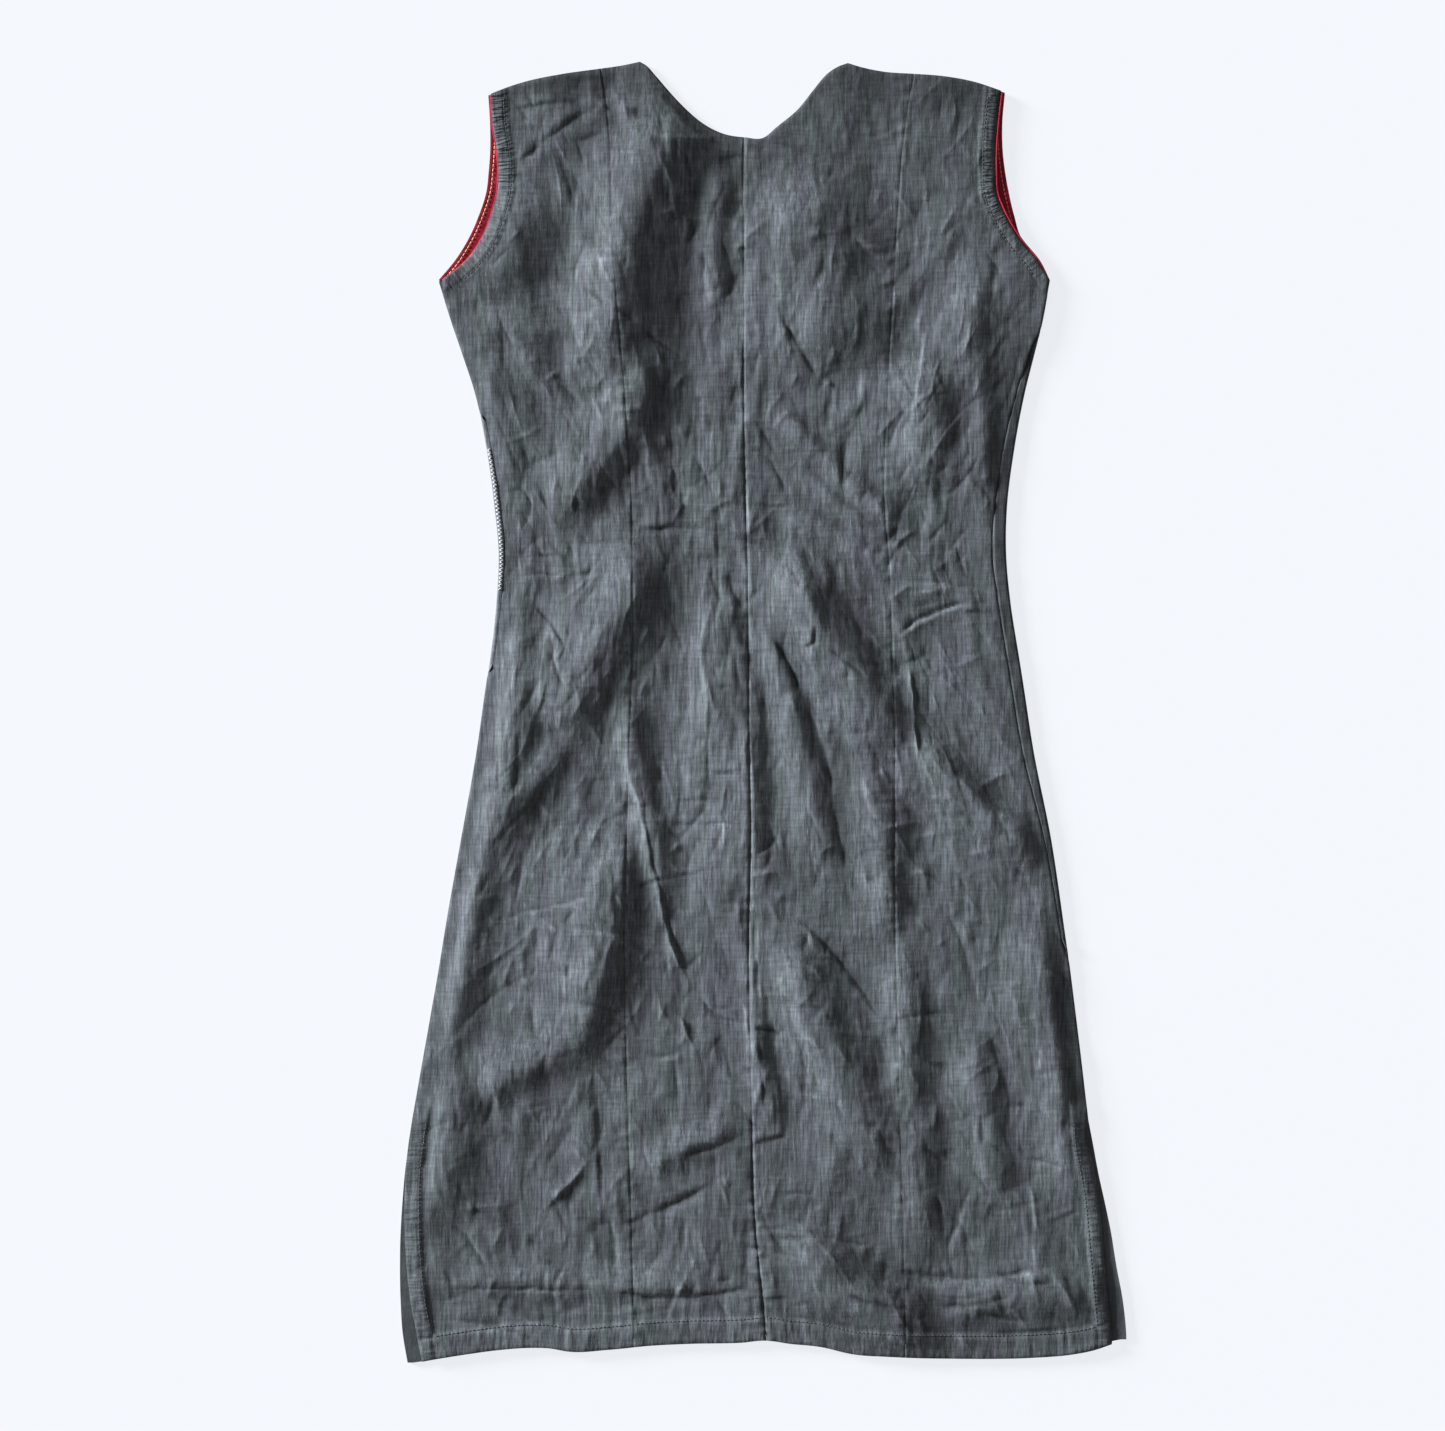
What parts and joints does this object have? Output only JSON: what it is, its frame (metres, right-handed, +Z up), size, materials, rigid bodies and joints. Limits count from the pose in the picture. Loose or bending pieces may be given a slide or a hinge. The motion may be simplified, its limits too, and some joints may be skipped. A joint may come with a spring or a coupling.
{
  "type": "sarafan dress",
  "caption": "Sleeveless fitted-waist dress of creased dark cotton laid flat, with shaped seams, coloured armhole facings and side slits, to be worn or laid out.",
  "frame": {"origin": "middle of the outline, on the surface that the dress lies on", "axes": "+X across the dress to the right as it is seen from above, +Y from the hem to the neck, +Z up from the surface"},
  "size_m": [0.5482, 0.9816, 0.0137],
  "materials": {
    "dress_cloth": "matt plain weave",
    "facing_cloth": "matt plain weave"
  },
  "bodies": {
    "root": {"front": "dress_cloth", "back_centre_left": "dress_cloth", "back_centre_right": "dress_cloth", "back_side_left": "dress_cloth", "back_side_right": "dress_cloth", "armhole_facing_front_left": "facing_cloth", "armhole_facing_front_right": "facing_cloth", "armhole_facing_back_left": "facing_cloth", "armhole_facing_back_right": "facing_cloth"}
  },
  "joints": []
}
